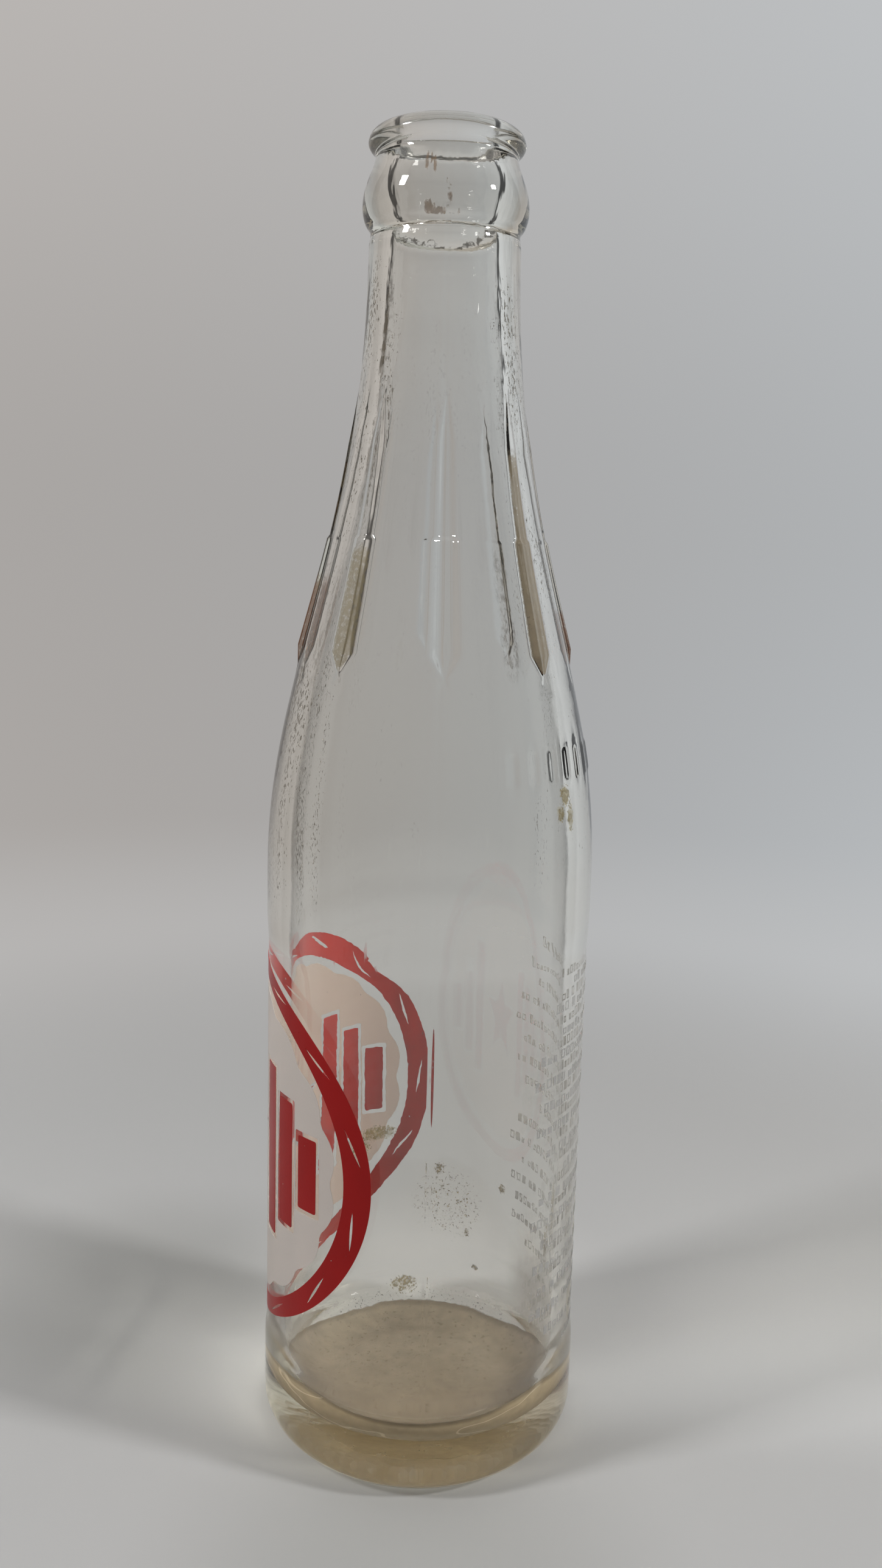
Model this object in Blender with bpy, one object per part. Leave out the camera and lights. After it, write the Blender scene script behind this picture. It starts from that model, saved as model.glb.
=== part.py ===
"""Returnable glass soda bottle: a moulded crown-finish vessel with fired enamel prints.

Metres, +Z up, origin at the centre of the base ring where the bottle stands.
Azimuth 0 is the -Y side and grows towards +X.
"""
import math

import bmesh
import bpy
import numpy as np
from mathutils import Vector

for old in list(bpy.data.objects):
    bpy.data.objects.remove(old, do_unlink=True)

mm = 0.001
degree = math.pi / 180

# The whole bottle
bottle_height = 235 * mm
segments = 48
overrun = 1.5 * mm
weld_distance = 0.01 * mm

# Body, with the label panel sunk between two bands that take the knocks
body_radius = 29.5 * mm
heel_band_step = 0.1 * mm
heel_band_height = 19 * mm
shoulder_start = 109 * mm
shoulder_band_depth = 12.5 * mm
panel_recess = 0.3 * mm
panel_blend = 3 * mm

# Base: rounded heel, flat bearing ring and shallow push-up
heel_radius = 7.3 * mm
bearing_ring_width = 3.2 * mm
push_up_height = 3.0 * mm

# Shoulder and neck, one sweep from body to crease
shoulder_pull = 35.5 * mm
neck_radius = 12.95 * mm
neck_pull = 51 * mm
neck_flare = 0.1 * mm

# Crown finish, each drop measured down from the rim
land_inner_radius = 8.9 * mm
land_outer_radius = 10.5 * mm
ring_radius = 13.3 * mm
ring_drop = 2.5 * mm
ring_height = 0.7 * mm
waist_radius = 12.2 * mm
waist_drop = 5.2 * mm
bead_radius = 14.4 * mm
bead_drop = 12.9 * mm
crease_radius = 12.15 * mm
crease_drop = 17.6 * mm
neck_top_drop = 19 * mm

# Inside
body_wall = 5.1 * mm
floor_thickness = 7.8 * mm
floor_rise = 1.2 * mm
inner_corner_radius = 8.2 * mm
inner_shoulder_start = 108 * mm
inner_shoulder_pull = 36.5 * mm
inner_neck_radius = 9.8 * mm
inner_neck_pull = 50 * mm
bore_radius = 7.75 * mm
lip_round = 1.1 * mm
throat_length = 3.0 * mm

# Pointed ribs, raised on the shoulder; heights measured up from the shoulder start
rib_count = 8
rib_phase = 4 * degree
rib_bottom_rise = 36.2 * mm
rib_step_rise = 58.7 * mm
rib_top_rise = 81.1 * mm
rib_toe_length = 3.5 * mm
rib_step_length = 0.8 * mm
rib_tip_width = 0.5 * mm
rib_toe_width = 4.8 * mm
rib_lower_width = 4.4 * mm
rib_upper_width = 3.5 * mm
rib_lance_width = 2.4 * mm
rib_lance_length = 7 * mm
rib_tip_proud = 0.12 * mm
rib_toe_proud = 1.1 * mm
rib_lower_proud = 0.75 * mm
rib_upper_proud = 0.5 * mm
raised_root = 1.2 * mm
side_slope_share = 0.3

# Raised plain bars at the shoulder
bar_count = 7
bar_first_azimuth = 29 * degree
bar_pitch = 9 * degree
raised_bar_width = 1.2 * mm
bar_rise = 18.6 * mm
bar_height = 5.8 * mm
bar_proud = 0.5 * mm
bar_end_proud = 0.2 * mm
bar_end_length = 0.6 * mm

# Fired enamel
enamel_clearance = 0.3 * mm
enamel_thickness = 0.2 * mm
keyline = 0.8 * mm
print_margin = 0.4 * mm

# Front print, an oval that fills the label panel; widths taken flat along the glass
front_azimuth = -100 * degree
front_half_angle = 83 * degree
band_side_width = 5.2 * mm
band_end_width = 3.0 * mm
halo_width = 1.6 * mm
scallop_count = 18
scallop_depth = 1.4 * mm
star_waist_share = 0.42

# Red motifs: the star's and bars' places and sizes as shares of the white panel's width and height
star_radius_share = 0.16
red_bar_width_share = 0.065
red_bar_names = ("inner", "middle", "outer")
red_bar_place_shares = (0.215, 0.3125, 0.405)
red_bar_height_shares = (0.52, 0.38, 0.22)

# Back print, plain rows
back_azimuth = 89 * degree
back_half_angle = 48 * degree
back_line_height = 1.7 * mm
back_line_shares = (0.55, 0.8, 0.7, 0.95, 1.0, 0.9, 0.97, 0.85, 0.6,
                    0.92, 1.0, 0.88, 0.96, 0.9, 0.98, 0.8, 0.5)


def material(name, colour, roughness, transmission=0.0):
    mat = bpy.data.materials.new(name)
    mat.use_nodes = True
    shader = mat.node_tree.nodes["Principled BSDF"]
    shader.inputs["Base Color"].default_value = (*colour, 1)
    shader.inputs["Roughness"].default_value = roughness
    shader.inputs["Metallic"].default_value = 0
    shader.inputs["Transmission Weight"].default_value = transmission
    mat.diffuse_color = (*colour, 1)
    return mat


clear_glass = material("clear_glass", (0.86, 0.86, 0.80), 0.04, 0.9)
white_enamel = material("white_enamel", (0.72, 0.70, 0.66), 0.35)
red_enamel = material("red_enamel", (0.47, 0.012, 0.010), 0.3)


def curve(start, start_handle, end_handle, end, steps):
    """Points along a cubic curve in the radius-height plane, without its first point."""
    points = []
    for step in range(1, steps + 1):
        t = step / steps
        weights = ((1 - t) ** 3, 3 * t * (1 - t) ** 2, 3 * t * t * (1 - t), t ** 3)
        corners = (start, start_handle, end_handle, end)
        points.append(tuple(sum(w * c[axis] for w, c in zip(weights, corners)) for axis in (0, 1)))
    return points


def shift(point, radius=0.0, height=0.0):
    return (point[0] + radius, point[1] + height)


def quarter(centre, radius, first_angle, last_angle, steps):
    """Points along an arc about centre, its angles measured from the radius direction."""
    angles = np.linspace(first_angle, last_angle, steps + 1)
    return [(centre[0] + radius * math.cos(a), centre[1] + radius * math.sin(a)) for a in angles]


def down(drop):
    return bottle_height - drop


def outer_sweep(steps):
    """Outer wall from the shoulder start up to the neck's top."""
    foot = (body_radius, shoulder_start)
    top = (neck_radius, down(neck_top_drop))
    return [foot] + curve(foot, shift(foot, height=shoulder_pull),
                          shift(top, neck_flare, -neck_pull), top, steps)


def inside_profile():
    """Cavity from the middle of its floor up to the sealing land."""
    inner_radius = body_radius - panel_recess - body_wall
    corner = (inner_radius - inner_corner_radius, floor_thickness + inner_corner_radius)
    points = [(0.0, floor_thickness + floor_rise)]
    points += quarter(corner, inner_corner_radius, -90 * degree, 0.0, 6)

    foot = (inner_radius, inner_shoulder_start)
    throat = (inner_neck_radius, down(neck_top_drop + throat_length))
    points.append(foot)
    points += curve(foot, shift(foot, height=inner_shoulder_pull),
                    shift(throat, height=-inner_neck_pull), throat, 11)

    bore = (bore_radius, down(neck_top_drop - throat_length / 2))
    points += curve(throat, shift(throat, height=throat_length),
                    shift(bore, height=-throat_length), bore, 4)
    lip = (bore_radius, down(lip_round))
    land = (land_inner_radius, bottle_height)
    points.append(lip)
    points += curve(lip, shift(lip, height=lip_round / 2), shift(land, -lip_round / 2), land, 3)
    return points


def finish_profile():
    """Crown finish from the sealing land down to the top of the neck."""
    land = (land_outer_radius, bottle_height)
    ring = (ring_radius, down(ring_drop))
    ring_foot = shift(ring, height=-ring_height)
    waist = (waist_radius, down(waist_drop))
    bead = (bead_radius, down(bead_drop))
    crease = (crease_radius, down(crease_drop))
    fall = (bead_drop - waist_drop) / 3
    tuck = (crease_drop - bead_drop) / 2
    points = [land]
    points += curve(land, shift(land, ring_drop / 2), shift(ring, height=ring_drop / 2), ring, 4)
    points.append(ring_foot)
    points += curve(ring_foot, shift(ring_foot, height=-ring_height), shift(waist, height=ring_height),
                    waist, 3)
    points += curve(waist, shift(waist, height=-fall / 2), shift(bead, height=fall), bead, 6)
    points += curve(bead, shift(bead, height=-tuck), shift(crease, (bead_radius - crease_radius) / 2),
                    crease, 4)
    return points


def outside_profile():
    """Outer wall from the rim down to the middle of the push-up."""
    points = finish_profile()
    points += reversed(outer_sweep(18))

    panel_radius = body_radius - panel_recess
    panel_top = shoulder_start - shoulder_band_depth
    points.append((body_radius, panel_top))
    points.append((panel_radius, panel_top - panel_blend))
    points.append((panel_radius, heel_band_height + panel_blend))
    heel_band_radius = body_radius + heel_band_step
    points.append((heel_band_radius, heel_band_height))

    bearing_radius = heel_band_radius - heel_radius
    points += quarter((bearing_radius, heel_radius), heel_radius, 0.0, -90 * degree, 5)
    arch = (bearing_radius - bearing_ring_width, 0.0)
    crown = (0.0, push_up_height)
    points.append(arch)
    points += curve(arch, shift(arch, -push_up_height, push_up_height),
                    shift(crown, arch[0] / 2), crown, 5)
    return points


def new_object(name, mesh, mat):
    obj = bpy.data.objects.new(name, mesh)
    bpy.context.scene.collection.objects.link(obj)
    mesh.materials.append(mat)
    return obj


def guide_object(name, bm):
    """A solid that only shapes others."""
    bmesh.ops.recalc_face_normals(bm, faces=bm.faces)
    mesh = bpy.data.meshes.new(name)
    bm.to_mesh(mesh)
    bm.free()
    obj = bpy.data.objects.new(name, mesh)
    bpy.context.scene.collection.objects.link(obj)
    obj.hide_render = True
    obj.display_type = "WIRE"
    return obj


# Height and radius of the outer wall, read by all that is raised on it
sweep = outer_sweep(18)
sweep_radii = [point[0] for point in sweep]
sweep_heights = [point[1] for point in sweep]


def wall_radius(height):
    return float(np.interp(height, sweep_heights, sweep_radii))


def raise_on_wall(bm, azimuth, stations):
    """Loft one raised solid up the shoulder through stations of height, width and proudness."""
    outward = Vector((math.sin(azimuth), -math.cos(azimuth), 0.0))
    along = Vector((math.cos(azimuth), math.sin(azimuth), 0.0))
    loops = []
    for height, width, proud in stations:
        radius = wall_radius(height)
        foot_half = width / 2 + side_slope_share * raised_root
        top_half = max(width / 2 - side_slope_share * proud, width / 4)
        corners = ((radius - raised_root, -foot_half), (radius - raised_root, foot_half),
                   (radius + proud, top_half), (radius + proud, -top_half))
        loops.append([bm.verts.new(outward * r + along * side + Vector((0, 0, height)))
                      for r, side in corners])
    for lower, upper in zip(loops, loops[1:]):
        for corner in range(4):
            after = (corner + 1) % 4
            bm.faces.new((lower[corner], lower[after], upper[after], upper[corner]))
    bm.faces.new(reversed(loops[0]))
    bm.faces.new(loops[-1])


def rib_stations():
    bottom = shoulder_start + rib_bottom_rise
    toe = bottom + rib_toe_length
    step = shoulder_start + rib_step_rise
    top = shoulder_start + rib_top_rise
    lance = top - rib_lance_length
    marks = (bottom, toe, step - rib_step_length, step, lance, top)
    widths = (rib_tip_width, rib_toe_width, rib_lower_width, rib_upper_width, rib_lance_width, rib_tip_width)
    prouds = (rib_tip_proud, rib_toe_proud, rib_lower_proud, rib_upper_proud, rib_upper_proud, rib_tip_proud)
    blades = ((toe, marks[2]), (step, lance))
    between = [low + (high - low) * part / 3 for low, high in blades for part in (1, 2)]
    return [(h, float(np.interp(h, marks, widths)), float(np.interp(h, marks, prouds)))
            for h in sorted(list(marks) + between)]


def bar_stations():
    foot = shoulder_start + bar_rise
    head = foot + bar_height
    return [(foot, raised_bar_width, bar_end_proud), (foot + bar_end_length, raised_bar_width, bar_proud),
            (head - bar_end_length, raised_bar_width, bar_proud), (head, raised_bar_width, bar_end_proud)]


def build_glass():
    profile = inside_profile() + outside_profile()
    bm = bmesh.new()
    verts = [bm.verts.new((radius, 0.0, height)) for radius, height in profile]
    for first, second in zip(verts, verts[1:]):
        bm.edges.new((first, second))
    mesh = bpy.data.meshes.new("glass_bottle")
    bm.to_mesh(mesh)
    bm.free()
    glass = new_object("glass_bottle", mesh, clear_glass)

    turn = glass.modifiers.new("turned", "SCREW")
    turn.axis = "Z"
    turn.steps = segments
    turn.render_steps = segments
    turn.use_merge_vertices = True
    turn.merge_threshold = weld_distance
    turn.use_smooth_shade = True

    raised = bmesh.new()
    for index in range(rib_count):
        raise_on_wall(raised, rib_phase + index * 2 * math.pi / rib_count, rib_stations())
    for index in range(bar_count):
        raise_on_wall(raised, bar_first_azimuth + index * bar_pitch, bar_stations())
    ribs = guide_object("raised_guide", raised)

    union = glass.modifiers.new("raised glass", "BOOLEAN")
    union.operation = "UNION"
    union.solver = "EXACT"
    union.object = ribs
    return glass


def oval(half_width, half_height, points=48):
    return [(half_width * math.cos(a), half_height * math.sin(a))
            for a in np.linspace(0, 2 * math.pi, points, endpoint=False)]


def scalloped_oval(half_width, half_height, depth, count, points_each=5):
    outline = []
    for index in range(count * points_each):
        angle = 2 * math.pi * index / (count * points_each)
        inset = depth * (1 - abs(math.sin(angle * count / 2)))
        outline.append(((half_width - inset) * math.cos(angle), (half_height - inset) * math.sin(angle)))
    return outline


def star(radius, grow=0.0):
    """Five points, the first one up; grow moves every edge outwards by about that much."""
    outline = []
    for index in range(10):
        reach = radius + 2 * grow if index % 2 == 0 else radius * star_waist_share + grow
        angle = math.pi / 2 + index * math.pi / 5
        outline.append((reach * math.cos(angle), reach * math.sin(angle)))
    return outline


def upright(centre, width, height, grow=0.0):
    half_width = width / 2 + grow
    half_height = height / 2 + grow
    return [(centre - half_width, -half_height), (centre + half_width, -half_height),
            (centre + half_width, half_height), (centre - half_width, half_height)]


def slab(outline, near, far):
    """A flat plate of an outline in the XZ plane, from depth near to depth far."""
    bm = bmesh.new()
    face = bm.faces.new([bm.verts.new((x, near, z)) for x, z in outline])
    grown = bmesh.ops.extrude_face_region(bm, geom=[face])
    moved = [item for item in grown["geom"] if isinstance(item, bmesh.types.BMVert)]
    bmesh.ops.translate(bm, verts=moved, vec=(0.0, far - near, 0.0))
    return bm


# The label panel's level stretch, and the radius that the enamel is laid at
panel_foot = heel_band_height + panel_blend + print_margin
panel_head = shoulder_start - shoulder_band_depth - panel_blend - print_margin
enamel_radius = body_radius - panel_recess + enamel_clearance


def printed(name, outline, openings, azimuth, rise, mat):
    """One enamel print: a flat plate, pierced by its openings, then laid round the glass."""
    bm = slab(outline, 0.0, enamel_thickness)
    bmesh.ops.recalc_face_normals(bm, faces=bm.faces)
    mesh = bpy.data.meshes.new(name)
    bm.to_mesh(mesh)
    bm.free()
    obj = new_object(name, mesh, mat)

    for opening in openings:
        cutter = guide_object(name + "_opening", slab(opening, -overrun, enamel_thickness + overrun))
        cut = obj.modifiers.new("opening", "BOOLEAN")
        cut.operation = "DIFFERENCE"
        cut.solver = "EXACT"
        cut.object = cutter
    bpy.context.view_layer.update()
    flat = bmesh.new()
    flat.from_object(obj, bpy.context.evaluated_depsgraph_get())
    for modifier in list(obj.modifiers):
        guide = modifier.object
        obj.modifiers.remove(modifier)
        bpy.data.objects.remove(guide, do_unlink=True)

    pitch = enamel_radius * 2 * math.pi / segments
    reach = max(abs(x) for x, z in outline)
    for column in range(-int(reach / pitch), int(reach / pitch) + 1):
        bmesh.ops.bisect_plane(flat, geom=flat.verts[:] + flat.edges[:] + flat.faces[:],
                               plane_co=(column * pitch, 0, 0), plane_no=(1, 0, 0))
    bmesh.ops.triangulate(flat, faces=flat.faces)
    for vert in flat.verts:
        angle = azimuth + vert.co.x / enamel_radius
        distance = enamel_radius + vert.co.y
        vert.co = (distance * math.sin(angle), -distance * math.cos(angle), rise + vert.co.z)
    bmesh.ops.reverse_faces(flat, faces=flat.faces)
    flat.to_mesh(mesh)
    flat.free()
    return obj


def build_front_print():
    place = (front_azimuth, (panel_foot + panel_head) / 2)
    half_width = front_half_angle * enamel_radius
    half_height = (panel_head - panel_foot) / 2
    inner_half_width = half_width - band_side_width
    inner_half_height = half_height - band_end_width
    printed("red_band", oval(half_width, half_height), [oval(inner_half_width, inner_half_height)],
            *place, red_enamel)

    white_half_width = inner_half_width - halo_width
    white_half_height = inner_half_height - halo_width
    star_radius = star_radius_share * 2 * white_half_height
    red_bar_width = red_bar_width_share * 2 * white_half_width
    openings = [star(star_radius, keyline)]
    for side, sign in (("left", -1), ("right", 1)):
        for step, rank in enumerate(red_bar_names):
            centre = sign * red_bar_place_shares[step] * 2 * white_half_width
            height = red_bar_height_shares[step] * 2 * white_half_height
            openings.append(upright(centre, red_bar_width, height, keyline))
            printed(f"red_bar_{side}_{rank}", upright(centre, red_bar_width, height), [], *place, red_enamel)
    printed("red_star", star(star_radius), [], *place, red_enamel)
    printed("white_panel", scalloped_oval(white_half_width, white_half_height, scallop_depth, scallop_count),
            openings, *place, white_enamel)


def build_back_print():
    half_width = back_half_angle * enamel_radius
    top = panel_head - back_line_height / 2
    pitch = (panel_head - panel_foot - back_line_height) / (len(back_line_shares) - 1)
    for row, share in enumerate(back_line_shares):
        line = upright(0.0, 2 * half_width * share, back_line_height)
        printed(f"white_line_{row + 1:02d}", line, [], back_azimuth, top - row * pitch, white_enamel)


build_glass()
build_front_print()
build_back_print()
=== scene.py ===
import math

import bpy
import numpy as np
from mathutils import Matrix, Vector, noise as smoothNoise


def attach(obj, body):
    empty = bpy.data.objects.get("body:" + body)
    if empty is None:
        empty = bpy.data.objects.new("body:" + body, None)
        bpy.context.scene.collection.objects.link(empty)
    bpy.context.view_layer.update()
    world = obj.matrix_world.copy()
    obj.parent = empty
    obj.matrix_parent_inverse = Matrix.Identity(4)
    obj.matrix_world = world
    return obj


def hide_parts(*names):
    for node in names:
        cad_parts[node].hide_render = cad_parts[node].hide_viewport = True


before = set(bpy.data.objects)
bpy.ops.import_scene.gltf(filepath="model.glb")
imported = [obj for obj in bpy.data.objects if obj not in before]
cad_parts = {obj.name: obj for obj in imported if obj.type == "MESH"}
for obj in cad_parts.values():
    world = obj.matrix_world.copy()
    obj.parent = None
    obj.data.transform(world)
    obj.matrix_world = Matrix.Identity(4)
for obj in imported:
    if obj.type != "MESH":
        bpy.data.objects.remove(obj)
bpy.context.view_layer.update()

mm = 0.001
degree = math.pi / 180


# small helpers

def deselectAll():
    for item in bpy.context.selected_objects:
        item.select_set(False)
    bpy.context.view_layer.objects.active = None


def selectOnly(item):
    deselectAll()
    item.select_set(True)
    bpy.context.view_layer.objects.active = item


def joinPieces(pieces, active):
    deselectAll()
    for piece in pieces:
        piece.select_set(True)
    bpy.context.view_layer.objects.active = active
    bpy.ops.object.join()


def editMode():
    if bpy.context.mode == "OBJECT":
        bpy.ops.object.mode_set(mode="EDIT")


def selectMesh():
    bpy.ops.mesh.select_all(action="SELECT")


def finishEdit(name):
    # out of edit mode, with the place applied, and named
    if bpy.context.mode != "OBJECT":
        bpy.ops.object.mode_set(mode="OBJECT")
    item = bpy.context.active_object
    bpy.ops.object.transform_apply(location=True, rotation=True, scale=True)
    item.name = item.data.name = name
    return item


def readPoints(item):
    points = np.zeros(len(item.data.vertices) * 3)
    item.data.vertices.foreach_get("co", points)
    return points.reshape(-1, 3)


def writePoints(item, points):
    item.data.vertices.foreach_set("co", points.astype(np.float32).ravel())
    item.data.update()


def writeAttribute(item, name, values):
    attribute = item.data.attributes.new(name, "FLOAT", "POINT")
    attribute.data.foreach_set("value", np.asarray(values, np.float32))


def smoothStep(value, low, high):
    t = np.clip((value - low) / (high - low), 0, 1)
    return t * t * (3 - 2 * t)


def cubic(start, startPull, endPull, end, steps):
    # points along a cubic curve, without its first
    t = np.linspace(0, 1, steps + 1)[1:, None]
    p = [np.array(corner) for corner in (start, startPull, endPull, end)]
    curve = (1 - t) ** 3 * p[0] + 3 * t * (1 - t) ** 2 * p[1] + 3 * t * t * (1 - t) * p[2] + t ** 3 * p[3]
    return [tuple(point) for point in curve]


def upright(start, startPull, endPull, end, steps):
    # a cubic curve of radius and height that starts and ends straight up or down
    return cubic(start, (start[0], start[1] + startPull), (end[0], end[1] + endPull), end, steps)


def smoothThrough(points, steps):
    # a rounded line through the points
    ends = np.array([points[0], *points, points[-1]])
    out = [points[0]]
    for a, b, c, d in zip(ends, ends[1:], ends[2:], ends[3:]):
        for t in np.linspace(0, 1, steps + 1)[1:]:
            out.append(tuple(0.5 * (2 * b + (c - a) * t + (2 * a - 5 * b + 4 * c - d) * t * t
                                    + (3 * b - a - 3 * c + d) * t ** 3)))
    return out


class Value:
    # a node's output, with arithmetic
    def __init__(self, nodes, socket):
        self.nodes, self.socket = nodes, socket

    def maths(self, operation, *values):
        return self.nodes.node("Math", {"operation": operation}, dict(enumerate(values)))

    def __abs__(self): return self.maths("ABSOLUTE", self)
    def __add__(self, other): return self.maths("ADD", self, other)
    def __radd__(self, other): return self.maths("ADD", other, self)
    def __sub__(self, other): return self.maths("SUBTRACT", self, other)
    def __rsub__(self, other): return self.maths("SUBTRACT", other, self)
    def __mul__(self, other): return self.maths("MULTIPLY", self, other)
    def __rmul__(self, other): return self.maths("MULTIPLY", other, self)
    def __truediv__(self, other): return self.maths("DIVIDE", self, other)
    def __gt__(self, other): return self.maths("GREATER_THAN", self, other)
    def __pow__(self, other): return self.maths("POWER", self, other)


class Nodes:
    # the nodes of one material or of the world
    def __init__(self, tree):
        self.tree = tree
        tree.nodes.clear()

    def node(self, kind, settings=None, inputs=None, out=0):
        item = self.tree.nodes.new("ShaderNode" + kind)
        for key, value in (settings or {}).items():
            setattr(item, key, value)
        for key, value in (inputs or {}).items():
            socket = item.inputs[key]
            if isinstance(value, Value):
                self.tree.links.new(value.socket, socket)
            else:
                socket.default_value = (*value, 1) if socket.type == "RGBA" else value
        return Value(self, item.outputs[out]) if item.outputs else None

    def several(self, kind, names, inputs=None):
        # some outputs of one node
        item = self.node(kind, None, inputs).socket.node
        return [Value(self, item.outputs[name]) for name in names]

    def axes(self, place):
        return self.several("SeparateXYZ", "XYZ", {0: place})

    def lengthOf(self, vector):
        return self.node("VectorMath", {"operation": "LENGTH"}, {0: vector}, out=1)

    def distance(self, place, point):
        return self.node("VectorMath", {"operation": "DISTANCE"}, {0: place, 1: point}, out=1)

    def most(self, first, second):
        return self.node("Math", {"operation": "MAXIMUM"}, {0: first, 1: second})

    def ease(self, value, low, high, first=0.0, last=1.0):
        return self.node("MapRange", {"interpolation_type": "SMOOTHSTEP"},
                         {"Value": value, "From Min": low, "From Max": high, "To Min": first, "To Max": last})

    def mixColour(self, share, first, second):
        return self.node("Mix", {"data_type": "RGBA"},
                         {0: share, 6: first, 7: second}, out=2)

    def mixShader(self, share, first, second):
        return self.node("MixShader", None, {0: share, 1: first, 2: second})

    def noise(self, place, scale, detail=2.0, roughness=0.5, stretch=None):
        if stretch:
            place = self.node("Mapping", None, {"Vector": place, "Scale": stretch})
        return self.node("TexNoise", None, {"Vector": place, "Scale": scale, "Detail": detail,
                                            "Roughness": roughness})


def newMaterial(name, colour):
    material = bpy.data.materials.new(name)
    material.use_nodes = True
    material.diffuse_color = (*colour, 1)
    return material, Nodes(material.node_tree)


# camera, backdrop and lamps

studio = {
    "cameraPlace": (0.0, -0.24293, 0.16603),
    "cameraTilt": 9.859,      # degrees down
    "cameraTurn": 0.397,      # degrees towards +X
    "cameraRoll": -1.492,
    "lens": 31.21,            # mm, on a 36 mm long side
    "floorColour": (0.475, 0.472, 0.465),
    "floorBlotch": (0.46, 0.457, 0.45),
    # where the bottle's painted shadow darkens the floor: middle, reach, strength
    "shaded": (((0, -0.05, 0), 0.055, 0.8), ((-0.058, 0.038, 0), 0.06, 1.0)),
    "shadedColour": (0.375, 0.373, 0.36),
    # light that the bottle gathers: a pool behind it, and beams (direction in degrees, strength, spread)
    "pool": (0, 0.045, 0),
    "beams": ((157, 0.15, 0.13), (8, 1.0, 0.32)),
    "horizon": 0.39,          # brightness of the backdrop at eye level
    "leftRight": 0.105,
    "curl": 0.22,             # how much brighter the paper gets to both sides
    "upward": 0.10,
    "ambient": 0.335,
    "sideDark": 0.05,         # dark gaps beside the backdrop, seen only in the glass's edges
    "gapStart": (0.83, 0.88),
    "gapEnd": (0.945, 0.97),
    "beside": 0.34,           # the room beyond the gaps
    "room": 0.20,             # the room behind the camera
    "roof": 0.55,
    "lampAim": (0, 0, 0.12),
    # azimuth (90 is towards +X), elevation, distance, width, height, power
    "lamps": {"leftLamp": (-65, 36, 0.9, 0.13, 0.19, 4.4), "rightLamp": (69, 30, 0.95, 0.10, 0.08, 4.9)},
}


def makeCamera():
    tilt, turn, roll = (studio[key] * degree for key in ("cameraTilt", "cameraTurn", "cameraRoll"))
    ahead = Vector((math.sin(turn) * math.cos(tilt), math.cos(turn) * math.cos(tilt), -math.sin(tilt)))
    right = Vector((math.cos(turn), -math.sin(turn), 0))
    down = ahead.cross(right)
    across = math.cos(roll) * right + math.sin(roll) * down
    below = -math.sin(roll) * right + math.cos(roll) * down
    camera = bpy.data.objects.new("camera", bpy.data.cameras.new("camera"))
    bpy.context.scene.collection.objects.link(camera)
    turned = Matrix((across, -below, -ahead)).transposed().to_4x4()
    camera.matrix_world = Matrix.Translation(studio["cameraPlace"]) @ turned
    camera.data.lens = studio["lens"]
    camera.data.clip_start, camera.data.clip_end = 0.01, 50
    bpy.context.scene.camera = camera


def paperShade(nodes, x, level):
    # warmer to the left and cooler to the right
    x = nodes.ease(x, -0.45, 0.45, -0.45, 0.45)
    return nodes.node("CombineXYZ", None, {
        0: level * (1.01 - x * 0.1), 1: level, 2: level * (x * 0.08 + 0.995)})


def sideGap(nodes, x, y):
    # the paper ends at the sides: a dark gap about 55 to 70 degrees off the view, then the room
    share = abs(x) / ((x * x + y * y) ** 0.5 + 0.0001)
    return nodes.ease(share, *studio["gapStart"]), nodes.ease(share, *studio["gapEnd"])


def surround(nodes, x, y, z, seen):
    # where seen is 1, straight from the camera, it stays pale on all sides
    gap, beyond = sideGap(nodes, x, y)
    gap = gap * (1 - seen)
    near = nodes.node("MapRange", None, {
        "Value": x, "From Min": -0.5, "From Max": 0.5, "To Min": -0.5, "To Max": 0.5})
    x = x * (1 - seen) + near * seen
    level = studio["horizon"] + x * studio["leftRight"] + x * x * studio["curl"]
    level = level + nodes.ease(z, 0.0, 0.45, 0.0, studio["upward"])
    level = level * (1 - gap) + gap * studio["sideDark"]
    level = level * (1 - beyond) + beyond * studio["beside"]
    ahead = nodes.ease(y, -0.3, 0.0)
    level = level * ahead + (1 - ahead) * (seen * (studio["beside"] - studio["room"]) + studio["room"])
    above = nodes.ease(z, 0.6, 0.85)
    return level * (1 - above) + above * studio["roof"]


def makeWorld():
    world = bpy.data.worlds.new("studio")
    bpy.context.scene.world = world
    world.use_nodes = True
    nodes = Nodes(world.node_tree)
    x, y, z = nodes.axes(nodes.node("TexCoord"))
    seen, glossy, through = nodes.several(
        "LightPath", ("Is Camera Ray", "Is Glossy Ray", "Is Transmission Ray"))
    shade = paperShade(nodes, x, surround(nodes, x, y, z, seen))
    plain = 1 - ((seen + glossy + through) > 0.5)      # the even light on all that is matt
    colour = nodes.mixColour(plain, shade, (studio["ambient"],) * 3)
    light = nodes.node("Background", None, {"Color": colour})
    nodes.node("OutputWorld", None, {"Surface": light})


def floorPaper(nodes, place):
    # matt paper, with a painted shadow beside the bottle's foot
    grain = nodes.noise(place, 900, 3)
    blotch = nodes.noise(place, 9, 2)
    paper = nodes.mixColour(blotch * 0.3, studio["floorColour"], studio["floorBlotch"])
    # painted shadow: two patches by the foot, in front and to the left, mixed towards a darker paper
    inFront, atLeft = (nodes.ease(nodes.distance(place, middle), 0.012, reach, strength, 0)
                       for middle, reach, strength in studio["shaded"])
    paper = nodes.mixColour(inFront + atLeft, paper, studio["shadedColour"])
    bump = nodes.node("Bump", None, {"Strength": 0.05, "Distance": 0.0002, "Height": grain})
    return nodes.node("BsdfPrincipled", None, {
        "Base Color": paper, "Roughness": 0.75, "Specular IOR Level": 0.2, "Normal": bump})


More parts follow.
